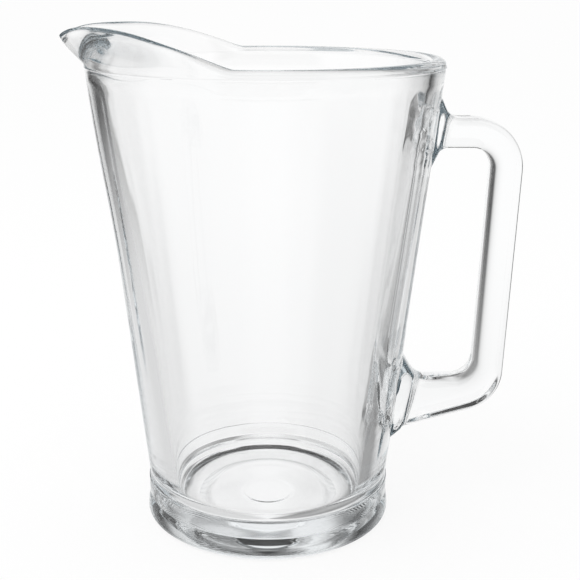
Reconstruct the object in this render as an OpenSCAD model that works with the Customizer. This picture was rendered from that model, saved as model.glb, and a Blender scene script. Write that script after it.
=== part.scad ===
// Glass beer pitcher: a pressed, tapered vessel with a drawn spout, and a handle stuck on hot at two roots.
// Lengths are millimetres. Z is up and the foot stands on z = 0. The spout points to -X, the handle to +X.

/* [Wall] */
// Outer radius of the wall at the mould seam, just under the rim
seam_r = 74.8; // [71:0.1:79]
// Height of the mould seam above the table
seam_z = 204; // [194:0.5:214]
// Outer radius of the wall where it meets the foot
heel_r = 54.6; // [52:0.1:55]
// Glass thickness of the wall at the seam
seam_wall = 6.3; // [5:0.1:7.5]
// Glass thickness of the wall at the top of the foot
heel_wall = 9.6; // [7:0.1:11]
// Height that the mould seam stands proud of the wall
seam_ridge = 0.25; // [0.1:0.05:0.4]
// Height of the seam's ridge along the wall
seam_band = 1.1; // [0.6:0.1:1.4]

/* [Rim] */
// Height of the rim's crest above the seam
crest_rise = 3.6; // [3:0.1:5]
// Radius of the rim's crest
crest_r = 71.1; // [70.4:0.1:71.6]
// Height of the rounding over the rim
crest_round = 2.7; // [2:0.1:2.9]

/* [Foot] */
// Height of the foot, from the table to the groove under the wall
foot_h = 18.4; // [16:0.1:21]
// Step from the wall out to the foot, at that groove
groove_step = 0.3; // [0.1:0.05:0.6]
// Height of the bead round the foot's lower half
bead_h = 9.7; // [8.5:0.1:11]
// Depth of the notch between the bead and the band above it
notch_depth = 0.5; // [0.3:0.05:0.9]
// Largest radius of the foot, at the bead
foot_r = 56; // [55.6:0.1:58]
// Height of the bead's largest radius, which is also the rounding under it
foot_belly_z = 5; // [3:0.1:6]
// Inner radius of the ring that stands on the table
ring_inner_r = 31; // [26:0.5:36]
// Height of the shallow dome under the base
hollow_h = 1; // [0.4:0.1:2]
// Radius of the flat patch in the middle of that dome
patch_r = 11.3; // [8:0.1:14]
// Number of flutes that roughen the standing ring
flutes = 120; // [60:4:160]
// Depth of a flute
flute_depth = 0.3; // [0.15:0.05:0.5]
// Width of a flute at the face of the ring
flute_w = 0.9; // [0.5:0.05:1.1]
// Plain margin of the ring inside and outside the flutes
flute_margin = 3; // [2:0.1:5]

/* [Inside] */
// Height of the floor inside
floor_z = 11; // [8:0.1:14]
// Rounding between the floor and the wall inside
floor_round = 6; // [3:0.1:9]

/* [Spout] */
// Reach of the spout's crest beyond the rim's
spout_reach = 12.9; // [9:0.1:18]
// Rise of the lip beside the spout above the rim
lip_rise = 13; // [8:0.1:16]
// Drop of the lip at the tip of the spout
tip_drop = 3.8; // [1:0.1:6]
// Draw of the rim towards the axis on each side of the spout
lip_pinch = 2.4; // [0.5:0.1:3.2]
// Angle from the spout at which the rim starts to rise
rise_start = 80.5; // [76:0.5:88]
// Angle from the spout at which the lip is highest
rise_end = 22; // [16:1:28]
// Angle over which the nose of the spout narrows
nose_span = 13; // [10:0.5:17]
// Angle from the spout at which the rim is drawn in most
pinch_at = 40; // [36:1:46]
// Angle over which that draw fades
pinch_span = 17; // [13:1:20]
// Angle over which the tip's drop fades
drop_span = 8; // [6:0.5:11]
// Bulge of the throat under the spout
throat_bulge = 2.3; // [1:0.1:3.5]
// Angle from the spout at which the throat ends
throat_span = 46; // [36:1:56]
// Depth below the seam at which the throat starts
throat_depth = 84; // [74:1:96]
// Depth below the seam at which the throat is full
throat_full_depth = 14; // [10:1:28]

/* [Handle] */
// Greatest reach of the grip from the axis, where the upper arm's line meets it
grip_reach = 110.7; // [104:0.1:118]
// Lean of the grip towards the vessel's foot, in degrees
grip_lean = 2.1; // [0:0.1:4]
// Thickness of the grip, away from the vessel
grip_t = 13.4; // [11:0.1:16]
// Width of the grip across the fingers
grip_w = 17; // [13:0.1:21]
// Drop of the upper arm's top below the seam
arm_drop = 21.7; // [18:0.1:28]
// Thickness of the upper arm
arm_t = 13.1; // [11:0.1:15]
// Height of the lower arm's top
lower_top_z = 64.2; // [60:0.1:70]
// Height of the lower arm's underside where the grip's line meets it
lower_under_z = 53.3; // [50:0.1:54.5]
// Slope of the lower arm's underside, in degrees
lower_slope = 15.9; // [12:0.1:19]
// Outer bend at the top of the grip
upper_bend = 22; // [19:0.5:25]
// Inner bend at the top of the grip
upper_bend_in = 8.7; // [6:0.1:11]
// Outer bend at the foot of the grip
lower_bend = 19.5; // [16:0.5:22]
// Inner bend at the foot of the grip
lower_bend_in = 9.7; // [7:0.1:12]
// Width of the upper root on the wall
upper_root_w = 25; // [21:0.1:30]
// Width of the lower root on the wall
lower_root_w = 27; // [22:0.1:32]
// Rounding over the upper root
upper_root_round = 7.5; // [5:0.1:9]
// Rounding under the upper root
upper_root_under_round = 5.5; // [3:0.1:6.5]
// Rounding over the lower root
lower_root_round = 8; // [5:0.1:9]
// Rounding under the lower root
lower_root_under_round = 6; // [4:0.1:8]

/* [Hidden] */
$fn = 120;
overrun = 1;
columns = 120;
band_shares = [0.24, 0.44, 0.62, 0.77, 0.9];
// Depth to which the upper wall is set into the turned wall, and how far it stays inside its faces there
band_lap = 2;
band_inset = 0.05;
lip_steps = 5;
crest_steps = 4;
throat_steps = 6;
floor_steps = 10;
bead_steps = 12;
hollow_steps = 8;
// Thickness of the rim on each side of its crest
crest_outside = 3.6;
crest_inside = 2.7;
// Depth below the seam at which the throat's inside joins the plain wall
throat_join = 6;
// How fast the lip rises from the rim, and how it levels out
rise_ease_share = 0.06;
rise_power = 2.6;
// Where the lip's outside and inside leave the wall and reach the crest
nose_leave_share = 0.37;
wall_leave_share = 0.33;
nose_flat_share = 0.13;
lip_reach_share = 0.2;
lip_climb_share = 0.37;
inside_lip_share = 0.25;
inside_lip_climb_share = 0.3;
inside_wall_share = 0.07;
inside_wall_climb_share = 0.35;
// Places along the outer and inner lines of the handle's roots
upper_root_out = 5;
upper_root_lean = 24;
upper_root_under_out = 2.6;
upper_root_under_lean = 24;
lower_root_out = 8;
lower_root_lean = 30;
lower_root_under_out = 4.2;
lower_root_under_lean = 49;
root_overlap = 14;
bar_sides = 28;
bend_steps = 9;
root_steps = 7;
grip_steps = 4;
arm_steps = 3;
section_power = 3;
flare_power = 2.2;
// Shares of the lines beside each corner of the handle that its rounding may take up
room_shares = [[0.95, 0.28], [0.7, 0.48], [0.48, 0.66], [0.3, 0.95]];

crest_z = seam_z + crest_rise;
throat_z = seam_z - throat_depth;
throat_full_z = seam_z - throat_full_depth;
arm_top_z = seam_z - arm_drop;
band_r = heel_r + groove_step;
notch_r = band_r - notch_depth;
edge_r = foot_r - foot_belly_z;
bead_crown = (pow(bead_h - foot_belly_z, 2) + pow(foot_r - notch_r, 2)) / (2 * (foot_r - notch_r));

// Shapes of curves
function within_unit(v) = min(1, max(0, v));
function ease(v) = v * v * (3 - 2 * v);
function bell(angle, span) = exp(-pow(angle / span, 2));
function unit(v) = v / norm(v);
function curve(a, b, c, d, t) =
    a * pow(1 - t, 3) + 3 * b * t * pow(1 - t, 2) + 3 * c * t * t * (1 - t) + d * pow(t, 3);

// Radius and thickness of the plain wall at a height
function wall_r(z) = heel_r + (seam_r - heel_r) * (z - foot_h) / (seam_z - foot_h);
function wall_t(z) = heel_wall + (seam_wall - heel_wall) * (z - foot_h) / (seam_z - foot_h);
function inside_r(z) = wall_r(z) - wall_t(z);

// Rise, reach and bulge of the spout at an angle from its middle
function rise_share(a) =
    let (s = within_unit((rise_start - a) / (rise_start - rise_end)))
    let (q = s * s / (s + rise_ease_share))
    1 - pow(1 - q, rise_power);
function lip_r(a) = crest_r + spout_reach * bell(a, nose_span) - lip_pinch * bell(a - pinch_at, pinch_span);
function lip_z(a) = crest_z + lip_rise * rise_share(a) - tip_drop * bell(a, drop_span);
function bulge(a, z) =
    throat_bulge * ease(within_unit((z - throat_z) / (throat_full_z - throat_z)))
    * ease(within_unit(1 - a / throat_span));

// Closed outline of the upper wall and its lip at an angle from the spout, as radius and height
function band_outline(a) =
    let (nose = bell(a, nose_span))
    let (low = seam_z - seam_band / 2)
    let (start = [wall_r(seam_z + seam_band / 2) + bulge(a, seam_z), seam_z + seam_band / 2])
    let (shoulder = [lip_r(a) + crest_outside, lip_z(a) - crest_round])
    let (out = shoulder - start)
    let (leave = [out.x * nose_leave_share * nose, out.y * (wall_leave_share - nose_flat_share * nose)])
    let (arrive = [out.x * lip_reach_share, out.y * lip_climb_share])
    let (inner = [lip_r(a) - crest_inside, lip_z(a) - crest_round])
    let (join_z = seam_z - throat_join)
    let (join = [inside_r(join_z) + bulge(a, join_z), join_z])
    let (drop = inner - join)
    let (inner_leave = [drop.x * inside_lip_share, drop.y * inside_lip_climb_share])
    let (inner_arrive = [drop.x * inside_wall_share, drop.y * inside_wall_climb_share])
    concat(
        [for (z = [throat_z - band_lap, throat_z]) [wall_r(z) - band_inset, z]],
        [for (s = band_shares) let (z = throat_z + s * (low - throat_z)) [wall_r(z) + bulge(a, z), z]],
        [[wall_r(low) + bulge(a, low), low]],
        [[wall_r(seam_z) + bulge(a, seam_z) + seam_ridge, seam_z]],
        [for (i = [0:lip_steps]) curve(start, start + leave, shoulder - arrive, shoulder, i / lip_steps)],
        [for (i = [1:crest_steps]) let (t = 90 * i / crest_steps)
            [lip_r(a) + crest_outside * cos(t), lip_z(a) - crest_round * (1 - sin(t))]],
        [for (i = [1:crest_steps]) let (t = 90 + 90 * i / crest_steps)
            [lip_r(a) + crest_inside * cos(t), lip_z(a) - crest_round * (1 - sin(t))]],
        [for (i = [1:throat_steps])
            curve(inner, inner - inner_leave, join + inner_arrive, join, i / throat_steps)],
        [for (i = [len(band_shares) - 1:-1:0]) let (z = throat_z + band_shares[i] * (join_z - throat_z))
            [inside_r(z) + bulge(a, z), z]],
        [for (z = [throat_z, throat_z - band_lap]) [inside_r(z) + band_inset, z]]
    );

// Faces of a band of outlines; the outlines close on themselves, and the band closes or has two ends
function band_faces(rows, cols, closed) = [
    for (c = [0:cols - (closed ? 1 : 2)], r = [0:rows - 1])
        let (n = (c + 1) % cols)
        let (u = (r + 1) % rows)
        each [[c * rows + r, c * rows + u, n * rows + u], [c * rows + r, n * rows + u, n * rows + r]]
];

// Upper wall with the seam, the rim and the spout
module spout_band() {
    rows = len(band_outline(0));
    points = [
        for (c = [0:columns - 1])
            let (turn = 360 * c / columns)
            let (a = turn > 180 ? 360 - turn : turn)
            for (p = band_outline(a)) [-p.x * cos(turn), -p.x * sin(turn), p.y]
    ];
    polyhedron(points = points, faces = band_faces(rows, columns, true));
}

// Half outlines of the base, as radius and height: the dome under it, the bead and the floor inside
function hollow_outline() = [
    [0, hollow_h],
    for (i = [0:hollow_steps])
        let (s = i / hollow_steps)
        [patch_r + (ring_inner_r - patch_r) * s, hollow_h * (1 - s * s)]
];
function bead_outline() =
    let (sweep = asin((bead_h - foot_belly_z) / bead_crown))
    concat(
        [for (i = [0:bead_steps]) let (t = -90 + 90 * i / bead_steps)
            [edge_r + foot_belly_z * cos(t), foot_belly_z * (1 + sin(t))]],
        [for (i = [1:bead_steps]) let (t = sweep * i / bead_steps)
            [foot_r - bead_crown * (1 - cos(t)), foot_belly_z + bead_crown * sin(t)]]
    );
function floor_outline() =
    let (lean = atan((inside_r(throat_z) - inside_r(foot_h)) / (throat_z - foot_h)))
    let (round_z = floor_z + floor_round)
    let (round_r = inside_r(round_z) - floor_round / cos(lean))
    [for (i = [0:floor_steps]) let (t = -lean - (90 - lean) * i / floor_steps)
        [round_r + floor_round * cos(t), round_z + floor_round * sin(t)]];

// Flutes across the standing ring, as shallow V-shaped cuts along its radius
module ring_flutes() {
    spread = flute_w / 2 * (flute_depth + overrun) / flute_depth;
    for (i = [0:flutes - 1])
        rotate([0, 0, 360 * (i + 0.5) / flutes])
            translate([ring_inner_r + flute_margin, 0, 0])
                rotate([90, 0, 90])
                    linear_extrude(height = edge_r - ring_inner_r - 2 * flute_margin)
                        polygon([[-spread, -overrun], [spread, -overrun], [0, flute_depth]]);
}

// Base, foot and plain lower wall, as one turned shape
module turned_base() {
    rotate_extrude() polygon(concat(
        hollow_outline(),
        bead_outline(),
        [[band_r, foot_h], [heel_r, foot_h]],
        [[wall_r(throat_z), throat_z], [inside_r(throat_z), throat_z]],
        floor_outline(),
        [[0, floor_z]]
    ));
}

module vessel() {
    color([0.82, 0.9, 0.88, 0.45]) union() {
        difference() {
            turned_base();
            ring_flutes();
        }
        spout_band();
    }
}

// Points of the round at a corner, from the line that comes in to the line that goes out
function rounded(before, corner, after, radius, steps) =
    let (to_before = unit(before - corner))
    let (to_after = unit(after - corner))
    let (half = acos(to_before * to_after) / 2)
    let (middle = corner + unit(to_before + to_after) * radius / sin(half))
    let (first = corner + to_before * radius / tan(half))
    let (sweep = 180 - 2 * half)
    [for (i = [0:steps])
        middle + (first - middle) * cos(sweep * i / steps) - to_before * radius * sin(sweep * i / steps)];

// Points between the ends of two lists, so that long faces are split
function between(a, b, steps) = [for (i = [1:steps - 1]) a + (b - a) * i / steps];

// Radius of a rounding, limited by the straight room on each side of its corner
function fitting(before, corner, after, radius, before_share, after_share) =
    let (half = acos(unit(before - corner) * unit(after - corner)) / 2)
    min(radius, tan(half) * min(norm(before - corner) * before_share, norm(after - corner) * after_share));

// Line of the handle through its four corners, from the upper root to the lower
function handle_line(corners, rounds) =
    let (r = [for (i = [1:4])
        let (root = i == 1 || i == 4)
        let (radius = fitting(corners[i - 1], corners[i], corners[i + 1], rounds[i - 1],
            room_shares[i - 1][0], room_shares[i - 1][1]))
        rounded(corners[i - 1], corners[i], corners[i + 1], radius, root ? root_steps : bend_steps)])
    concat(
        [corners[0]],
        r[0],
        between(r[0][root_steps], r[1][0], arm_steps),
        r[1],
        between(r[1][bend_steps], r[2][0], grip_steps),
        r[2],
        between(r[2][bend_steps], r[3][0], arm_steps),
        r[3],
        [corners[5]]
    );

// Reach of the grip's outer line at a height, and of its inner line
function grip_out(z) = grip_reach - (arm_top_z - z) * tan(grip_lean);
function grip_in(z) = grip_out(z) - grip_t / cos(grip_lean);

arm_under_z = arm_top_z - arm_t;
lower_root_z = lower_under_z - (grip_out(lower_under_z) - wall_r(lower_under_z)) * tan(lower_slope);
lower_corner_out = wall_r(lower_root_z) + lower_root_under_out;
outer_corners = [
    [wall_r(arm_top_z) + upper_root_out, arm_top_z]
        + root_overlap * [-sin(upper_root_lean), cos(upper_root_lean)],
    [wall_r(arm_top_z) + upper_root_out, arm_top_z],
    [grip_out(arm_top_z), arm_top_z],
    [grip_out(lower_under_z), lower_under_z],
    [lower_corner_out, lower_under_z - (grip_out(lower_under_z) - lower_corner_out) * tan(lower_slope)],
    [lower_corner_out, lower_under_z - (grip_out(lower_under_z) - lower_corner_out) * tan(lower_slope)]
        + root_overlap * [-sin(lower_root_under_lean), -cos(lower_root_under_lean)]
];
inner_corners = [
    [wall_r(arm_under_z) + upper_root_under_out, arm_under_z]
        + root_overlap * [-sin(upper_root_under_lean), -cos(upper_root_under_lean)],
    [wall_r(arm_under_z) + upper_root_under_out, arm_under_z],
    [grip_in(arm_under_z), arm_under_z],
    [grip_in(lower_top_z), lower_top_z],
    [wall_r(lower_top_z) + lower_root_out, lower_top_z],
    [wall_r(lower_top_z) + lower_root_out, lower_top_z]
        + root_overlap * [-sin(lower_root_lean), cos(lower_root_lean)]
];

// Width of the handle at a station, flaring to each root
function bar_w(i, last) =
    let (near_upper = within_unit(1 - i / (root_steps + 1)))
    let (near_lower = within_unit(1 - (last - i) / (root_steps + 1)))
    grip_w + (upper_root_w - grip_w) * pow(near_upper, flare_power)
    + (lower_root_w - grip_w) * pow(near_lower, flare_power);

// Share of a half size that a rounded bar's side reaches at an angle
function side_share(v) = sign(v) * pow(abs(v), 2 / section_power);

// Bar of the handle, with both roots running into the wall
module handle_bar() {
    outer = handle_line(outer_corners, [upper_root_round, upper_bend, lower_bend, lower_root_under_round]);
    inner = handle_line(inner_corners, [upper_root_under_round, upper_bend_in, lower_bend_in, lower_root_round]);
    stations = len(outer);
    points = [
        for (i = [0:stations - 1])
            let (middle = (outer[i] + inner[i]) / 2)
            let (half = (outer[i] - inner[i]) / 2)
            for (k = [0:bar_sides - 1])
                let (t = 360 * (k + 0.5) / bar_sides)
                let (p = middle + half * side_share(sin(t)))
                [p.x, bar_w(i, stations - 1) / 2 * side_share(cos(t)), p.y]
    ];
    first_end = [for (k = [bar_sides - 1:-1:0]) k];
    last_end = [for (k = [0:bar_sides - 1]) (stations - 1) * bar_sides + k];
    polyhedron(
        points = points,
        faces = concat(band_faces(bar_sides, stations, false), [first_end, last_end])
    );
}

module handle() {
    color([0.78, 0.88, 0.86, 0.45]) difference() {
        handle_bar();
        translate([0, 0, foot_h]) cylinder(h = seam_z - foot_h, r1 = heel_r, r2 = seam_r);
    }
}

vessel();
handle();
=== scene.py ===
import math

import bpy
import numpy as np
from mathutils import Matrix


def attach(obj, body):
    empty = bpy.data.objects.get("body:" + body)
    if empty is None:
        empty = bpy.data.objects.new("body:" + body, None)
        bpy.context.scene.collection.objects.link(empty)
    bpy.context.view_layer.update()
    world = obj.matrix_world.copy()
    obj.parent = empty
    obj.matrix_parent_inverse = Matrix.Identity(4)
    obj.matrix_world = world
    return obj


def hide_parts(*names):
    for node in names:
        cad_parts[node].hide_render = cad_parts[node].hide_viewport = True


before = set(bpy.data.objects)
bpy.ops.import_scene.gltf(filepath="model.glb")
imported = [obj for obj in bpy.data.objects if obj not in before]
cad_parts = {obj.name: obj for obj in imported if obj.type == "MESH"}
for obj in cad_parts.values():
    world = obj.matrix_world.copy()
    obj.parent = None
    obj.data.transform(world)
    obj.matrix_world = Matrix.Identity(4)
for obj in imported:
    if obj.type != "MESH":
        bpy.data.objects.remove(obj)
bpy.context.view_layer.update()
print("frame loaded")

mm = 0.001  # sizes of the glass are in millimetres, meshes are in metres

# body of the pitcher: outside as on the CAD vessel, with a finer foot, floor and lip
vessel = {
    # wall, and the seam line under the rim
    "seamR": 74.8, "seamZ": 204.0, "heelR": 54.6, "seamWall": 6.3, "heelWall": 10.7,
    "seamRidge": 0.25, "seamBand": 1.1, "leanZ": 120.0,
    # rolled crest of the rim
    "crestRise": 3.6, "crestR": 71.1, "crestRound": 2.7, "crestOutside": 3.6, "crestInside": 2.7,
    # foot: lower round, bead, notch, band and the groove above it
    "footH": 18.4, "footR": 56.0, "bellyZ": 3.19, "lowRound": 5.48, "lowPower": 2.48,
    "beadH": 9.89, "notchR": 54.64, "notchRound": 0.35, "notchLift": 0.25, "notchSweep": (215.0, 150.0),
    "bandR": 55.3, "bandLift": 0.55, "edgeRound": 0.8,
    "bandLowSweep": (-60.0, 0.0), "bandHighSweep": (0.0, 80.0),
    "grooveOut": 0.04, "grooveLow": 0.1, "grooveHigh": 0.5,
    # underside: shallow recess, middle patch and radial ridges
    "ringInnerR": 37.5, "hollowH": 0.25, "hollowEase": 3.5,
    "patchR": 11.3, "patchStep": 0.2, "patchEase": 0.8,
    "ridges": 160, "ridgeDepth": 0.045, "ridgeFrom": 12.8, "ridgeTo": 32.5, "ridgeFade": 1.6,
    "ridgeEase": 0.3, "ridgeEaseFrom": 22.5, "ridgeEaseSpan": 3.5,
    "ridgeEdge": 4.0, "ridgeEdgeReach": 3.5, "ridgeEdgeSpan": 2.0,
    # floor of the hollow
    "floorZ": 12.0, "floorRound": 11.4,
    # spout and lip, with angles in degrees from the spout
    "spoutReach": 12.9, "lipRise": 13.0, "tipDrop": 3.8, "lipPinch": 2.4,
    "riseStart": 80.5, "riseEnd": 22.0, "noseSpan": 13.0, "pinchAt": 40.0, "pinchSpan": 17.0, "dropSpan": 8.0,
    "riseEase": 0.06, "risePower": 2.6, "besideSpan": 25.0,
    "lipThinOut": 2.4, "lipThinIn": 0.5, "lipFlatOut": 1.7, "lipFlatIn": 0.5,
    "noseSwellShare": 0.37, "shoulderInShare": 0.2,
    "sideUpShare": 0.33, "noseUpShare": 0.13, "shoulderDownShare": 0.37,
    # throat under the spout
    "throatBulge": 2.3, "throatSpan": 46.0, "throatDepth": 84.0, "throatFullDepth": 14.0, "throatJoin": 6.0,
    "throatInShares": (0.25, 0.07), "throatDownShares": (0.3, 0.35),
    # unevenness of the inner wall: waves have a count and a depth,
    # ripples have lengths up and round, a strength and a shift
    "waves": [(26, 0.03), (41, 0.02), (57, 0.012)], "waveFromZ": 50.0, "waveFullSpan": 50.0,
    "ripples": [(1.5, 4.1, 1.0, 0.0), (0.95, -2.3, 0.7, 1.0), (6.0, 1.6, 0.6, 0.0)],
    "crumple": 0.15, "crumpleAt": [176.0, 55.0], "crumpleTall": 15.0, "crumpleSpan": 24.0,
    "unevenFloorFade": 20.0, "unevenThroatFade": 6.0,
}
crestZ = vessel["seamZ"] + vessel["crestRise"]

# grid of the body: radii of rows on the underside and floor, heights of rows on the wall, rows round each curve
bodyRows = {
    "columns": 320, "finer": 4,
    "patch": [2.0, 6.0, 10.2, 10.9, 11.7],
    "ridged": [12.2, 13.0, 13.8, 16.0, 19.0, 22.5, 26.0, 29.0, 30.6, 31.2, 31.8, 32.5, 33.2, 34.0],
    "standing": [38.0, 44.0, 50.3],
    "lowRound": 18, "bead": 9, "notch": 4, "bandLow": 5, "band": 3, "bandHigh": 7,
    "wall": [20.0, 26.0, 50.0, 85.0, 118.0], "throatFromZ": 124.0, "throat": 16,
    "seam": 5, "lip": 14, "crest": 16,
    "innerStart": 2.0, "innerUpperZ": 148.0, "innerMiddle": [140.0, 132.0, 124.0, 118.0, 104.0],
    "innerLowerZ": (86.0, 33.0), "innerEnd": 3.0, "inner": 28,
    "floorRound": 16, "floorEdge": 1.5, "floor": [24.0, 15.0, 6.0],
}


# 0 below the unit range, 1 above it, a smooth cubic step between
def ease(v):
    v = np.clip(v, 0.0, 1.0)
    return v * v * (3.0 - 2.0 * v)


# bell curve of a distance or an angle over its span: e to the minus square of their ratio
def bell(away, span):
    return np.exp(-(away / span) ** 2)


# cubic curve from a to d, drawn towards b and c, each an array over columns, at the shares t over rows
def cubic(a, b, c, d, t):
    t = t[:, None]
    return a * (1 - t) ** 3 + 3 * b * t * (1 - t) ** 2 + 3 * c * t * t * (1 - t) + d * t ** 3


# outer radius of the plain wall: a straight cone from heel to seam
def wallR(z):
    v = vessel
    return v["heelR"] + (v["seamR"] - v["heelR"]) * (z - v["footH"]) / (v["seamZ"] - v["footH"])


# inner radius of the plain wall: outer radius less a thickness that tapers from heel to seam
def insideR(z):
    v = vessel
    share = (z - v["footH"]) / (v["seamZ"] - v["footH"])
    return wallR(z) - (v["heelWall"] + (v["seamWall"] - v["heelWall"]) * share)


# lip height against the angle a from the spout: a powered rise less a bell for the drop of the tip
def lipZ(a):
    v = vessel
    s = np.clip((v["riseStart"] - a) / (v["riseStart"] - v["riseEnd"]), 0.0, 1.0)
    rise = 1 - (1 - s * s / (s + v["riseEase"])) ** v["risePower"]
    return crestZ + v["lipRise"] * rise - v["tipDrop"] * bell(a, v["dropSpan"])


# lip radius against the angle a from the spout: a bell for the nose less a bell for the pinch beside it
def lipR(a):
    v = vessel
    pinch = v["lipPinch"] * bell(a - v["pinchAt"], v["pinchSpan"])
    return v["crestR"] + v["spoutReach"] * bell(a, v["noseSpan"]) - pinch


# outward swell of the throat: full under the spout near the seam, fading down the wall and round the side
def bulge(a, z):
    v = vessel
    low, full = v["seamZ"] - v["throatDepth"], v["seamZ"] - v["throatFullDepth"]
    return v["throatBulge"] * ease((z - low) / (full - low)) * ease(1 - a / v["throatSpan"])


# unevenness of the pressed inner wall: cosine waves round the axis, plus slanting sine ripples behind the
# handle's roots under bells
def unevenness(a, z):
    v = vessel
    waves = sum(depth * np.cos(np.radians(a) * count) for count, depth in v["waves"])
    waves = waves * ease((z - v["waveFromZ"]) / v["waveFullSpan"])
    ripple = sum(
        strength * np.sin(z / tall + a / wide + shift) for tall, wide, strength, shift in v["ripples"])
    roots = sum(bell(180 - a, v["crumpleSpan"]) * bell(z - at, v["crumpleTall"]) for at in v["crumpleAt"])
    return waves + v["crumple"] * ripple * roots


# arc of a circle as radius and height, between two angles in degrees, at evenly spaced shares
def arc(centre, radius, start, end, steps):
    t = np.radians(np.linspace(start, end, steps + 1))
    return np.stack([centre[0] + radius * np.cos(t), centre[1] + radius * np.sin(t)], axis=1)


# half outline of the foot from the middle of the underside to the wall, in three stretches: the middle patch,
# the ridged part in a shallow recess, and then standing ring, superellipse lower round, bead arc, notch, band
# and groove
def footOutline():
    v, rows = vessel, bodyRows
    rise, out = v["beadH"] - v["bellyZ"], v["footR"] - v["notchR"]
    crown = (rise ** 2 + out ** 2) / (2 * out)
    topAngle = math.degrees(math.asin(rise / crown))
    patch, ridged = [
        np.stack([r, v["hollowH"] * ease((v["ringInnerR"] - r) / v["hollowEase"])], axis=1)
        for r in (np.array(rows["patch"]), np.array(rows["ridged"]))
    ]
    standing = np.array([[r, 0.0] for r in rows["standing"]])
    bead = arc((v["footR"] - crown, v["bellyZ"]), crown, 0.0, topAngle, rows["bead"])[:-1]
    quarter = arc((0.0, 0.0), 1.0, 0.0, 90.0, rows["lowRound"])[:0:-1].clip(0.0, 1.0) ** (2 / v["lowPower"])
    under = quarter * [v["lowRound"], -v["bellyZ"]] + [v["footR"] - v["lowRound"], v["bellyZ"]]

    # hollow round of the notch, then the rounds over the band's lower and upper edges
    k, hollow = v["edgeRound"], v["notchRound"]
    notch = arc((v["notchR"] + hollow, v["beadH"] + v["notchLift"]), hollow, *v["notchSweep"], rows["notch"])
    low = arc((v["bandR"] - k, v["beadH"] + v["bandLift"] + k), k, *v["bandLowSweep"], rows["bandLow"])
    high = arc((v["bandR"] - k, v["footH"] - k), k, *v["bandHighSweep"], rows["bandHigh"])
    bandZ = np.linspace(low[-1, 1], high[0, 1], rows["band"] + 2)[1:-1]
    band = np.stack([np.full_like(bandZ, v["bandR"]), bandZ], axis=1)
    grooveZ = v["footH"] + v["grooveHigh"]
    groove = np.array([
        [wallR(v["footH"]) + v["grooveOut"], v["footH"] + v["grooveLow"]], [wallR(grooveZ), grooveZ],
    ])
    return patch, ridged, np.concatenate([standing, under, bead, notch, low, band, high, groove])


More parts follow.
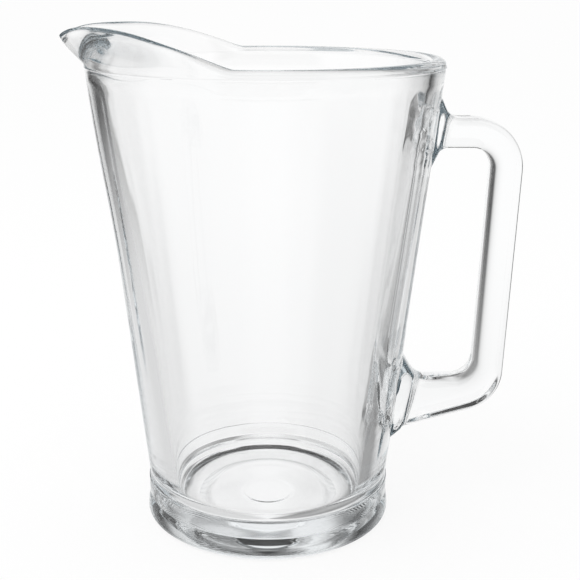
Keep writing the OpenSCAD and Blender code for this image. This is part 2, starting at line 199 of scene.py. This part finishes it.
# outlines of the body from the standing ring on, one per column, as arrays of radius and height with rows by
# columns: foot, wall, seam, lip, crest, throat, inner wall, floor round, floor
def bodyOutlines(a, foot):
    v, rows = vessel, bodyRows
    cols = np.ones_like(a)
    footR, footZ = foot[:, :1] * cols, foot[:, 1:] * cols

    seamLow, seamHigh = v["seamZ"] - v["seamBand"] / 2, v["seamZ"] + v["seamBand"] / 2
    lowZ = np.concatenate([rows["wall"], np.linspace(rows["throatFromZ"], seamLow, rows["throat"])])
    lowZ = lowZ[:, None] * cols
    lowR = wallR(lowZ) + bulge(a, lowZ)

    ridgeT = np.linspace(0.0, 1.0, rows["seam"] + 2)[1:-1, None]
    ridgeZ = (seamLow + (seamHigh - seamLow) * ridgeT) * cols
    ridgeR = wallR(ridgeZ) + bulge(a, ridgeZ) + v["seamRidge"] * np.sin(np.pi * ridgeT) ** 2

    # outer side of the lip; beside the spout its crest moves outward and gets a tighter outer round
    nose = bell(a, v["noseSpan"])
    beside = ease((v["riseStart"] - a) / v["besideSpan"])
    outside, inside = v["crestOutside"] - v["lipThinOut"] * beside, v["crestInside"] - v["lipThinIn"] * beside
    crownOut, crownIn = v["crestRound"] - v["lipFlatOut"] * beside, v["crestRound"] - v["lipFlatIn"] * beside
    r, z = lipR(a) + v["lipThinOut"] * beside, lipZ(a)
    startR, startZ = wallR(seamHigh) + bulge(a, v["seamZ"]), seamHigh * cols
    shoulderR, shoulderZ = r + outside, z - crownOut
    outR, outZ = shoulderR - startR, shoulderZ - startZ
    upShare = v["sideUpShare"] - v["noseUpShare"] * nose
    t = np.linspace(0.0, 1.0, rows["lip"] + 1)
    sideR = cubic(startR, startR + outR * v["noseSwellShare"] * nose,
                  shoulderR - outR * v["shoulderInShare"], shoulderR, t)
    sideZ = cubic(startZ, startZ + outZ * upShare, shoulderZ - outZ * v["shoulderDownShare"], shoulderZ, t)

    over = np.radians(np.linspace(0.0, 180.0, rows["crest"] + 1))[1:-1, None]
    outerHalf = over < np.pi / 2
    crestR = r + np.where(outerHalf, outside, inside) * np.cos(over)
    crestZs = z - np.where(outerHalf, crownOut, crownIn) * (1 - np.sin(over))

    innerR, innerZ = r - inside, z - crownIn
    joinZ = (v["seamZ"] - v["throatJoin"]) * cols
    joinR = insideR(joinZ) + bulge(a, joinZ)
    dropR, dropZ = innerR - joinR, innerZ - joinZ
    (firstIn, lastIn), (firstDown, lastDown) = v["throatInShares"], v["throatDownShares"]
    throatR = cubic(innerR, innerR - dropR * firstIn, joinR + dropR * lastIn, joinR, t)
    throatZ = cubic(innerZ, innerZ - dropZ * firstDown, joinZ + dropZ * lastDown, joinZ, t)

    # inner wall down to the floor's round, which touches both
    lean = math.atan((insideR(v["leanZ"]) - insideR(v["footH"])) / (v["leanZ"] - v["footH"]))
    roundZ = v["floorZ"] + v["floorRound"]
    roundR = insideR(roundZ) - v["floorRound"] / math.cos(lean)
    bottom = roundZ - v["floorRound"] * math.sin(lean)
    throatEndZ = v["seamZ"] - v["throatJoin"]
    downZ = np.concatenate([
        np.linspace(throatEndZ - rows["innerStart"], rows["innerUpperZ"], rows["inner"]), rows["innerMiddle"],
        np.linspace(*rows["innerLowerZ"], rows["inner"]), [bottom + rows["innerEnd"]],
    ])[:, None] * cols
    fading = ease((downZ - bottom) / v["unevenFloorFade"]) * ease((throatEndZ - downZ) / v["unevenThroatFade"])
    downR = insideR(downZ) + bulge(a, downZ) + unevenness(a, downZ) * fading

    floorArc = arc((roundR, roundZ), v["floorRound"], -math.degrees(lean), -90.0, rows["floorRound"])
    flatR = np.concatenate([[roundR - rows["floorEdge"]], rows["floor"]])
    floor = np.concatenate([floorArc, np.stack([flatR, np.full_like(flatR, v["floorZ"])], axis=1)])
    floorR, floorZs = floor[:, :1] * cols, floor[:, 1:] * cols

    radius = np.concatenate([footR, lowR, ridgeR, sideR, crestR, throatR, downR, floorR])
    height = np.concatenate([footZ, lowZ, ridgeZ, sideZ, crestZs, throatZ, downZ, floorZs])
    return radius, height


# faces that join each row of a grid to the next, as indices from a first vertex on
def sideFaces(rows, cols, first):
    i, j = np.meshgrid(np.arange(rows - 1), np.arange(cols), indexing="ij")
    k = (j + 1) % cols
    corners = [i * cols + j, i * cols + k, (i + 1) * cols + k, (i + 1) * cols + j]
    return first + np.stack(corners, axis=-1).reshape(-1, 4)


# fan from a pole point to a row; the first row of a skin turns one way and its last row the other
def poleFan(pole, row, cols, last):
    j = np.arange(cols)
    k = (j + 1) % cols
    return np.stack([np.full(cols, pole), row + (j if last else k), row + (k if last else j)], axis=1)


# triangles between a coarse row and a row with more columns by a whole number, on either side of it
def seamFaces(coarse, fine, cols, finer, fineFirst):
    j, q = np.meshgrid(np.arange(cols), np.arange(finer), indexing="ij")
    near = np.where(q < finer // 2, j, (j + 1) % cols)
    a, b = fine + j * finer + q, fine + (j * finer + q + 1) % (cols * finer)
    thin = np.stack([a, b, coarse + near], axis=-1).reshape(-1, 3)
    j = np.arange(cols)
    wide = np.stack([fine + j * finer + finer // 2, coarse + (j + 1) % cols, coarse + j], axis=-1)
    faces = np.concatenate([thin, wide])
    return faces if fineFirst else faces[:, ::-1]


# one grid of rows by columns closed into a skin: side faces, and a fan to a pole point at each end
def closedGrid(points, firstPole, lastPole):
    rows, cols = points.shape[:2]
    verts = np.concatenate([points.reshape(-1, 3), firstPole[None], lastPole[None]])
    fans = [poleFan(rows * cols, 0, cols, False), poleFan(rows * cols + 1, (rows - 1) * cols, cols, True)]
    return verts, sideFaces(rows, cols, 0), np.concatenate(fans)


# mesh object from point and face arrays, smooth shaded
def meshObject(name, verts, quads, tris):
    mesh = bpy.data.meshes.new(name)
    corners = np.concatenate([quads.ravel(), tris.ravel()]).astype(np.int32)
    sizes = np.concatenate([np.full(len(quads), 4), np.full(len(tris), 3)]).astype(np.int32)
    starts = np.concatenate([[0], np.cumsum(sizes)[:-1]]).astype(np.int32)
    mesh.vertices.add(len(verts))
    mesh.vertices.foreach_set("co", (verts * mm).astype(np.float32).ravel())
    mesh.loops.add(len(corners))
    mesh.loops.foreach_set("vertex_index", corners)
    mesh.polygons.add(len(sizes))
    mesh.polygons.foreach_set("loop_start", starts)
    mesh.polygons.foreach_set("use_smooth", np.ones(len(sizes), dtype=bool))
    mesh.update(calc_edges=True)
    mesh.validate()
    obj = bpy.data.objects.new(name, mesh)
    bpy.context.scene.collection.objects.link(obj)
    return obj


# points of outlines given as radius and height, each column turned to its angle from the spout
def turned(radius, height, turn):
    return np.stack([-radius * np.cos(turn), -radius * np.sin(turn), height * np.ones_like(turn)], axis=-1)


# body skin: middle patch, ridged part with finer columns and the rest of the outline, turned about the axis;
# the ridges are cosine waves round the axis that fade at both ends and are deepest near the outer one
def bodySkin():
    v = vessel
    cols, finer = bodyRows["columns"], bodyRows["finer"]
    fine = cols * finer
    turn = np.linspace(0.0, 2 * np.pi, cols, endpoint=False)
    fineTurn = np.linspace(0.0, 2 * np.pi, fine, endpoint=False)
    fromSpout = np.degrees(np.minimum(turn, 2 * np.pi - turn))
    patch, ridged, foot = footOutline()

    patchR, ridgedR = patch[:, :1], ridged[:, :1]
    patchZ = patch[:, 1:] - v["patchStep"] * ease((v["patchR"] + v["patchEase"] / 2 - patchR) / v["patchEase"])
    fade = v["ridgeFade"]
    ends = ease((ridgedR - v["ridgeFrom"] + fade / 2) / fade)
    ends = ends * ease((v["ridgeTo"] + fade / 2 - ridgedR) / fade)
    shallow = v["ridgeEase"] * ease((ridgedR - v["ridgeEaseFrom"]) / v["ridgeEaseSpan"])
    deep = v["ridgeEdge"] * ease((ridgedR - v["ridgeTo"] + v["ridgeEdgeReach"]) / v["ridgeEdgeSpan"])
    depth = v["ridgeDepth"] * ridgedR / v["ridgeTo"] * (ends * (1 - shallow + deep))
    ridgedZ = ridged[:, 1:] + depth * (0.5 - 0.5 * np.cos(fineTurn * v["ridges"]))
    radius, height = bodyOutlines(fromSpout, foot)

    parts = [turned(patchR, patchZ, turn), turned(ridgedR, ridgedZ, fineTurn), turned(radius, height, turn)]
    starts = np.cumsum([0] + [part.shape[0] * part.shape[1] for part in parts])
    poles = np.array([[0.0, 0.0, v["hollowH"] - v["patchStep"]], [0.0, 0.0, v["floorZ"]]])
    verts = np.concatenate([part.reshape(-1, 3) for part in parts] + [poles])
    quads = np.concatenate([sideFaces(*part.shape[:2], first) for part, first in zip(parts, starts)])
    tris = np.concatenate([
        poleFan(starts[3], 0, cols, False),
        seamFaces(starts[1] - cols, starts[1], cols, finer, False),
        seamFaces(starts[2], starts[2] - fine, cols, finer, True),
        poleFan(starts[3] + 1, starts[3] - cols, cols, True),
    ])
    return verts, quads, tris


# handle: path as on the CAD handle, with flatter faces
handle = {
    "gripReach": 110.7, "gripLean": 2.1, "gripT": 13.4, "gripW": 17.0,
    "armDrop": 21.7, "armT": 13.1, "lowerTopZ": 64.2, "lowerUnderZ": 53.3, "lowerSlope": 15.9,
    "upperBend": 22.0, "upperBendIn": 8.7, "lowerBend": 19.5, "lowerBendIn": 9.7,
    "upperRootW": 25.0, "lowerRootW": 27.0,
    "upperRootRound": 7.5, "upperRootUnderRound": 5.5, "lowerRootRound": 8.0, "lowerRootUnderRound": 6.0,
    "upperRootOut": 5.0, "upperRootLean": 24.0, "upperRootUnderOut": 2.6, "upperRootUnderLean": 24.0,
    "lowerRootOut": 8.0, "lowerRootLean": 30.0, "lowerRootUnderOut": 4.2, "lowerRootUnderLean": 49.0,
    "rootOverlap": 14.0, "sectionPower": 4.2, "flarePower": 2.2,
    "endSteps": 4, "rootSteps": 16, "bendSteps": 26, "gripSteps": 12, "armSteps": 8, "sides": 80,
}


# round at a corner between two lines: the arc that touches both, at evenly spaced angles
def cornerRound(before, corner, after, radius, steps):
    toBefore = (before - corner) / np.linalg.norm(before - corner)
    toAfter = (after - corner) / np.linalg.norm(after - corner)
    half = math.acos(float(toBefore @ toAfter)) / 2
    middle = corner + (toBefore + toAfter) / np.linalg.norm(toBefore + toAfter) * radius / math.sin(half)
    first = corner + toBefore * radius / math.tan(half)
    sweep = np.linspace(0.0, math.pi - 2 * half, steps + 1)[:, None]
    return middle + (first - middle) * np.cos(sweep) - toBefore * radius * np.sin(sweep)


# straight run between two points, both ends left out
def straight(a, b, steps):
    t = np.linspace(0.0, 1.0, steps + 1)[1:-1, None]
    return a + (b - a) * t


# one side line of the handle in the spout plane: root end, four rounded corners with straights between them,
# root end
def handleLine(corners, rounds):
    h = handle
    steps = [h["rootSteps"], h["bendSteps"], h["bendSteps"], h["rootSteps"]]
    r = [cornerRound(corners[i], corners[i + 1], corners[i + 2], rounds[i], steps[i]) for i in range(4)]
    return np.concatenate([
        corners[0][None], straight(corners[0], r[0][0], h["endSteps"]), r[0],
        straight(r[0][-1], r[1][0], h["armSteps"]), r[1], straight(r[1][-1], r[2][0], h["gripSteps"]), r[2],
        straight(r[2][-1], r[3][0], h["armSteps"]), r[3],
        straight(r[3][-1], corners[5], h["endSteps"]), corners[5][None],
    ])


# handle skin: superellipse sections between the outer and inner side lines, widening at both roots by a power
# of the share left
def handleSkin():
    h = handle
    topZ = vessel["seamZ"] - h["armDrop"]
    lean, slope = math.tan(math.radians(h["gripLean"])), math.tan(math.radians(h["lowerSlope"]))

    # outer and inner side of the grip: lines that lean by an angle, one thickness apart
    def gripOut(z):
        return h["gripReach"] - (topZ - z) * lean

    def gripIn(z):
        return gripOut(z) - h["gripT"] / math.cos(math.radians(h["gripLean"]))

    # step from a root's corner into the wall: the overlap turned by the root's lean
    def leaning(angle, up):
        t = math.radians(angle)
        return h["rootOverlap"] * np.array([-math.sin(t), up * math.cos(t)])

    underZ = topZ - h["armT"]
    rootZ = h["lowerUnderZ"] - (gripOut(h["lowerUnderZ"]) - wallR(h["lowerUnderZ"])) * slope
    lowOut = wallR(rootZ) + h["lowerRootUnderOut"]
    upperRoot = np.array([wallR(topZ) + h["upperRootOut"], topZ])
    lowerRoot = np.array([lowOut, h["lowerUnderZ"] - (gripOut(h["lowerUnderZ"]) - lowOut) * slope])
    outer = handleLine(
        [upperRoot + leaning(h["upperRootLean"], 1), upperRoot, np.array([gripOut(topZ), topZ]),
         np.array([gripOut(h["lowerUnderZ"]), h["lowerUnderZ"]]),
         lowerRoot, lowerRoot + leaning(h["lowerRootUnderLean"], -1)],
        [h["upperRootRound"], h["upperBend"], h["lowerBend"], h["lowerRootUnderRound"]])
    upperRoot = np.array([wallR(underZ) + h["upperRootUnderOut"], underZ])
    lowerRoot = np.array([wallR(h["lowerTopZ"]) + h["lowerRootOut"], h["lowerTopZ"]])
    inner = handleLine(
        [upperRoot + leaning(h["upperRootUnderLean"], -1), upperRoot, np.array([gripIn(underZ), underZ]),
         np.array([gripIn(h["lowerTopZ"]), h["lowerTopZ"]]),
         lowerRoot, lowerRoot + leaning(h["lowerRootLean"], 1)],
        [h["upperRootUnderRound"], h["upperBendIn"], h["lowerBendIn"], h["lowerRootRound"]])

    count = len(outer)
    i = np.arange(count, dtype=float)
    reach = h["rootSteps"] + h["endSteps"] + 1
    nearUpper = np.clip(1 - i / reach, 0.0, 1.0)
    nearLower = np.clip(1 - (count - 1 - i) / reach, 0.0, 1.0)
    width = h["gripW"] + (h["upperRootW"] - h["gripW"]) * nearUpper ** h["flarePower"]
    width = width + (h["lowerRootW"] - h["gripW"]) * nearLower ** h["flarePower"]

    t = (np.arange(h["sides"]) + 0.5) / h["sides"] * 2 * np.pi
    power = 2.0 / h["sectionPower"]
    across = np.sign(np.cos(t)) * np.abs(np.cos(t)) ** power
    through = np.sign(np.sin(t)) * np.abs(np.sin(t)) ** power
    middle, half = (outer + inner) / 2, (outer - inner) / 2
    x = middle[:, :1] + half[:, :1] * through
    z = middle[:, 1:] + half[:, 1:] * through
    y = width[:, None] / 2 * across
    firstPole = np.array([middle[0, 0], 0.0, middle[0, 1]])
    lastPole = np.array([middle[-1, 0], 0.0, middle[-1, 1]])
    return closedGrid(np.stack([x, y, z], axis=-1), firstPole, lastPole)


# glass fused where the handle was stuck on hot: the two skins joined into one with no surface between
def fuse(target, other, name):
    join = target.modifiers.new("fuse", "BOOLEAN")
    join.operation = "UNION"
    join.solver = "MANIFOLD"
    join.object = other
    bpy.context.view_layer.update()
    graph = bpy.context.evaluated_depsgraph_get()
    mesh = bpy.data.meshes.new_from_object(target.evaluated_get(graph))
    mesh.name = name
    target.modifiers.clear()
    target.data = mesh
    target.name = name
    bpy.data.objects.remove(other)
    return target


creaseAngle = 60.0  # a sharper turn than this between faces stays a crease

bodyObj = meshObject("pitcher_body", *bodySkin())
print("body skin:", len(bodyObj.data.polygons), "faces")
handleObj = meshObject("pitcher_grip", *handleSkin())
print("handle skin:", len(handleObj.data.polygons), "faces")
glassObj = fuse(bodyObj, handleObj, "pitcher_glass")
glassObj.data.polygons.foreach_set("use_smooth", np.ones(len(glassObj.data.polygons), dtype=bool))
glassObj.data.set_sharp_from_angle(angle=math.radians(creaseAngle))
print("fused glass:", len(glassObj.data.polygons), "faces")


# maker of math nodes in one node tree: an operation on one or two sockets or numbers
def mathMaker(tree):
    def math2(op, a, b=None):
        node = tree.nodes.new("ShaderNodeMath")
        node.operation = op
        for k, value in enumerate((a, b)):
            if value is None:
                continue
            if isinstance(value, (int, float)):
                node.inputs[k].default_value = value
            else:
                tree.links.new(value, node.inputs[k])
        return node.outputs[0]

    return math2


# clear soda-lime glass, a little green-grey where it is thick; lengths in metres, as Object coordinates are
glassLook = {
    "tint": (1.0, 1.0, 1.0, 1.0), "ior": 1.51,
    "absorbColor": (0.82, 0.86, 0.88, 1.0), "absorbDensity": 6.0,
    # underside between the middle patch and the recess's edge
    "ringRough": 0.004, "ringR": 0.0340, "ringEdge": 0.0008, "patchR": 0.0113, "patchEdge": 0.0006,
    "underZ": 0.0014, "underEdge": 0.0002,
    # scuffs on the ring that it stands on
    "wearRough": 0.16, "wearFrom": 0.0440, "wearTo": 0.0515, "wearEdge": 0.001,
    "wearZ": 0.0004, "wearZEdge": 0.0003, "wearScale": 900.0, "wearDetail": 4.0, "wearRange": (0.45, 0.65),
    # smudges and waviness above the foot
    "footZ": 0.025, "footEdge": 0.02,
    "smudgeRough": 0.012, "smudgeScale": 38.0, "smudgeDetail": 3.0, "smudgeRange": (0.56, 0.74),
    "waveScale": 70.0, "waveDetail": 1.0, "waveDepth": 0.00001, "waveStrength": 0.6,
}


# glass whose roughness is the sum of the underside's, the scuffs' and the smudges', each a product of fades
def clearGlass(look):
    mat = bpy.data.materials.new("clear_glass")
    mat.use_nodes = True
    nodes, links = mat.node_tree.nodes, mat.node_tree.links
    nodes.clear()
    math2 = mathMaker(mat.node_tree)
    out = nodes.new("ShaderNodeOutputMaterial")
    skin = nodes.new("ShaderNodeBsdfPrincipled")
    skin.inputs["Base Color"].default_value = look["tint"]
    skin.inputs["Transmission Weight"].default_value = 1.0
    skin.inputs["IOR"].default_value = look["ior"]
    coord = nodes.new("ShaderNodeTexCoord")

    # 0 to 1 while a value goes from low to high
    def fade(value, low, high):
        node = nodes.new("ShaderNodeMapRange")
        node.interpolation_type = "SMOOTHSTEP"
        links.new(value, node.inputs["Value"])
        node.inputs["From Min"].default_value = low
        node.inputs["From Max"].default_value = high
        return node.outputs["Result"]

    def noise(scale, detail):
        node = nodes.new("ShaderNodeTexNoise")
        node.inputs["Scale"].default_value = scale
        node.inputs["Detail"].default_value = detail
        links.new(coord.outputs["Object"], node.inputs["Vector"])
        return node.outputs["Fac"]

    split = nodes.new("ShaderNodeSeparateXYZ")
    links.new(coord.outputs["Object"], split.inputs[0])
    x, y, z = split.outputs["X"], split.outputs["Y"], split.outputs["Z"]
    radius = math2("SQRT", math2("ADD", math2("MULTIPLY", x, x), math2("MULTIPLY", y, y)))

    # underside: a trace of roughness round a clear patch in the middle
    low = fade(z, look["underZ"], look["underZ"] - look["underEdge"])
    under = math2("MULTIPLY", low, fade(radius, look["ringR"], look["ringR"] - look["ringEdge"]))
    under = math2("MULTIPLY", under, fade(radius, look["patchR"], look["patchR"] + look["patchEdge"]))
    under = math2("MULTIPLY", under, look["ringRough"])

    # flat ring that the foot stands on: scuffed in fine patches
    fromIn = fade(radius, look["wearFrom"], look["wearFrom"] + look["wearEdge"])
    fromOut = fade(radius, look["wearTo"], look["wearTo"] - look["wearEdge"])
    onRing = math2("MULTIPLY", fromIn, fromOut)
    onRing = math2("MULTIPLY", onRing, fade(z, look["wearZ"], look["wearZ"] - look["wearZEdge"]))
    scuffs = fade(noise(look["wearScale"], look["wearDetail"]), *look["wearRange"])
    wear = math2("MULTIPLY", math2("MULTIPLY", onRing, scuffs), look["wearRough"])

    # faint smudges left by hands and drying
    aboveFoot = fade(z, look["footZ"], look["footZ"] + look["footEdge"])
    smudges = fade(noise(look["smudgeScale"], look["smudgeDetail"]), *look["smudgeRange"])
    smudge = math2("MULTIPLY", math2("MULTIPLY", smudges, aboveFoot), look["smudgeRough"])
    links.new(math2("ADD", math2("ADD", under, wear), smudge), skin.inputs["Roughness"])

    # slight waviness that pressing leaves in the skin
    bump = nodes.new("ShaderNodeBump")
    bump.inputs["Strength"].default_value = look["waveStrength"]
    bump.inputs["Distance"].default_value = look["waveDepth"]
    wavy = math2("MULTIPLY", noise(look["waveScale"], look["waveDetail"]), aboveFoot)
    links.new(wavy, bump.inputs["Height"])
    links.new(bump.outputs["Normal"], skin.inputs["Normal"])

    absorb = nodes.new("ShaderNodeVolumeAbsorption")
    absorb.inputs["Color"].default_value = look["absorbColor"]
    absorb.inputs["Density"].default_value = look["absorbDensity"]
    links.new(skin.outputs["BSDF"], out.inputs["Surface"])
    links.new(absorb.outputs["Volume"], out.inputs["Volume"])
    return mat


glassObj.data.materials.clear()
glassObj.data.materials.append(clearGlass(glassLook))
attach(glassObj, "root")
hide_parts("vessel", "handle")
print("glass finished")

# pale floor: mostly white to the camera, with a share of it lit, so that a faint shadow stays
# the glass doesn't show it
floorLook = {"half": 30.0, "glow": 0.88, "color": (0.95, 0.95, 0.95, 1.0)}


def paleFloor(look):
    s = look["half"]
    mesh = bpy.data.meshes.new("floor")
    mesh.from_pydata([(-s, -s, 0), (s, -s, 0), (s, s, 0), (-s, s, 0)], [], [(0, 1, 2, 3)])
    obj = bpy.data.objects.new("floor", mesh)
    bpy.context.scene.collection.objects.link(obj)
    mat = bpy.data.materials.new("pale_floor")
    mat.use_nodes = True
    nodes, links = mat.node_tree.nodes, mat.node_tree.links
    nodes.clear()
    out = nodes.new("ShaderNodeOutputMaterial")
    lit = nodes.new("ShaderNodeBsdfDiffuse")
    lit.inputs["Color"].default_value = look["color"]
    glow = nodes.new("ShaderNodeEmission")
    glow.inputs["Strength"].default_value = 1.0
    path = nodes.new("ShaderNodeLightPath")
    share = mathMaker(mat.node_tree)("MULTIPLY", path.outputs["Is Camera Ray"], look["glow"])
    mix = nodes.new("ShaderNodeMixShader")
    links.new(share, mix.inputs["Fac"])
    links.new(lit.outputs["BSDF"], mix.inputs[1])
    links.new(glow.outputs["Emission"], mix.inputs[2])
    links.new(mix.outputs["Shader"], out.inputs["Surface"])
    mesh.materials.append(mat)
    obj.visible_transmission = False
    obj.visible_glossy = False


paleFloor(floorLook)

# bright studio round the pitcher, with dark parts at both sides behind it, overhead behind it and above the
# camera; only the glass shows them, and the camera sees plain white
# each list holds pairs of an angle in degrees and a brightness or share there
studio = {
    "light": 0.9,  # level of the light on plain surfaces
    # wall behind and wall in front, against the angle to the right of the line of sight
    "sides": [(-90, 0.9), (-68, 0.85), (-58, 0.4), (-46, 0.14), (-34, 0.02), (-30, 0.14), (-26, 0.42),
              (-22, 0.94), (-17, 1.0), (13, 1.0), (18, 0.95), (28, 0.8), (36, 0.62), (41, 0.25), (46, 0.04),
              (60, 0.03), (70, 0.5), (80, 0.9), (90, 0.9)],
    "frontSides": [(-90, 0.9), (-45, 1.0), (45, 1.0), (90, 0.9)],
    # table below them, and the share of wall against the angle above the table
    "table": [(-90, 0.75), (-46, 0.7), (-28, 0.8), (-12, 0.95), (10, 0.95), (20, 0.86), (30, 0.72), (38, 0.5),
              (44, 0.3), (60, 0.35), (90, 0.5)],
    "sidesFrom": [(-90, 0.0), (-23, 0.0), (-13, 1.0), (90, 1.0)],
    # dark part overhead behind, whose lower edge rises to both sides by a slope up to a limit in degrees
    "overhead": [(-90, 1.0), (28, 1.0), (31, 0.02), (78, 0.02), (84, 0.9), (90, 1.0)],
    "archLeftFrom": 10.0, "archLeftSlope": 6.0, "archRightFrom": 31.0, "archRightSlope": 4.0, "archRise": 24.0,
    # dark part above the camera, and where it opens to the sides
    "front": [(-90, 1.0), (9, 1.0), (13, 0.03), (62, 0.03), (68, 1.0), (90, 1.0)],
    "frontOpen": [(-90, 1.0), (-44, 1.0), (-34, 0.0), (34, 0.0), (44, 1.0), (90, 1.0)],
}


# brightness that the glass shows: walls or table by the angle aside, times the overhead by the angle above
def buildStudio(look):
    world = bpy.data.worlds.new("studio")
    bpy.context.scene.world = world
    world.use_nodes = True
    nodes, links = world.node_tree.nodes, world.node_tree.links
    nodes.clear()
    math2 = mathMaker(world.node_tree)
    out = nodes.new("ShaderNodeOutputWorld")
    back = nodes.new("ShaderNodeBackground")
    back.inputs["Color"].default_value = (1.0, 1.0, 1.0, 1.0)
    coord = nodes.new("ShaderNodeTexCoord")
    split = nodes.new("ShaderNodeSeparateXYZ")
    links.new(coord.outputs["Generated"], split.inputs[0])

    # brightness against an angle in radians: straight runs between the pairs, from minus to plus 90 degrees
    def steps(angle, pairs):
        share = math2("ADD", math2("DIVIDE", angle, math.pi), 0.5)
        ramp = nodes.new("ShaderNodeValToRGB")
        links.new(share, ramp.inputs["Fac"])
        stops = ramp.color_ramp.elements
        for k, (degrees, level) in enumerate(pairs):
            at = (degrees + 90.0) / 180.0
            stop = stops[k] if k < 2 else stops.new(at)
            stop.position = at
            stop.color = (level, level, level, 1.0)
        return ramp.outputs["Color"]

    # first value at share 0, second at share 1
    def mixed(share, a, b):
        node = nodes.new("ShaderNodeMix")
        node.data_type = "FLOAT"
        links.new(share, node.inputs[0])
        for k, value in ((2, a), (3, b)):
            if isinstance(value, (int, float)):
                node.inputs[k].default_value = value
            else:
                links.new(value, node.inputs[k])
        return node.outputs[0]

    # angle to the right of the line of sight, the same to front and back, and angle above the table
    aside = math2("ARCTAN2", split.outputs["X"], math2("ABSOLUTE", split.outputs["Y"]))
    above = math2("ARCSINE", split.outputs["Z"])
    behind = math2("GREATER_THAN", split.outputs["Y"], 0.0)
    sides = mixed(behind, steps(aside, look["frontSides"]), steps(aside, look["sides"]))
    walls = mixed(steps(above, look["sidesFrom"]), steps(aside, look["table"]), sides)
    pastLeft = math2("ADD", aside, math.radians(look["archLeftFrom"]))
    pastRight = math2("SUBTRACT", aside, math.radians(look["archRightFrom"]))
    left = math2("MULTIPLY", pastLeft, -look["archLeftSlope"])
    right = math2("MULTIPLY", pastRight, look["archRightSlope"])
    arch = math2("MAXIMUM", math2("MAXIMUM", left, right), 0.0)
    arch = math2("MINIMUM", arch, math.radians(look["archRise"]))
    front = math2("MAXIMUM", steps(above, look["front"]), steps(aside, look["frontOpen"]))
    roof = mixed(behind, front, steps(math2("SUBTRACT", above, arch), look["overhead"]))
    seen = math2("MULTIPLY", walls, roof)
    path = nodes.new("ShaderNodeLightPath")
    glass = math2("MAXIMUM", path.outputs["Is Transmission Ray"], path.outputs["Is Glossy Ray"])
    level = mixed(glass, mixed(path.outputs["Is Camera Ray"], look["light"], 1.0), seen)
    links.new(level, back.inputs["Strength"])
    links.new(back.outputs["Background"], out.inputs["Surface"])


buildStudio(studio)

# soft lamp above and to the left, aimed at the pitcher's middle
lampLook = {"at": (-0.6, -0.5, 1.3), "aimZ": 0.1, "size": 0.9, "watts": 6.0}


def softLamp(look):
    data = bpy.data.lights.new("soft_lamp", "AREA")
    data.shape = "SQUARE"
    data.size = look["size"]
    data.energy = look["watts"]
    obj = bpy.data.objects.new("soft_lamp", data)
    obj.location = look["at"]
    x, y, z = look["at"]
    obj.rotation_euler = (math.atan2(math.hypot(x, y), z - look["aimZ"]), 0.0, math.atan2(-x, y) + math.pi)
    # the glass shows the studio's white and dark parts, not the lamp's square
    obj.visible_glossy = False
    obj.visible_transmission = False
    bpy.context.scene.collection.objects.link(obj)


softLamp(lampLook)

# camera at the photo's angle: a little above the rim and tilted down
cameraLook = {
    "at": (0.0, -0.470, 0.2404), "pitch": 16.11, "lens": 67.66, "sensor": 36.0, "shiftX": 0.0382,
    "near": 0.01, "far": 200.0, "bounces": 64,
}


def placeCamera(look):
    data = bpy.data.cameras.new("camera")
    data.lens = look["lens"]
    data.sensor_width = look["sensor"]
    data.shift_x = look["shiftX"]
    data.clip_start = look["near"]
    data.clip_end = look["far"]
    obj = bpy.data.objects.new("camera", data)
    obj.location = look["at"]
    obj.rotation_euler = (math.radians(90.0 - look["pitch"]), 0.0, 0.0)
    bpy.context.scene.collection.objects.link(obj)
    bpy.context.scene.camera = obj


placeCamera(cameraLook)
bpy.context.scene.view_settings.view_transform = "Standard"
# light bounces many times inside the thick foot and lip
bpy.context.scene.cycles.max_bounces = cameraLook["bounces"]
bpy.context.scene.cycles.transmission_bounces = cameraLook["bounces"]
bpy.context.scene.cycles.glossy_bounces = cameraLook["bounces"]
print("scene set")
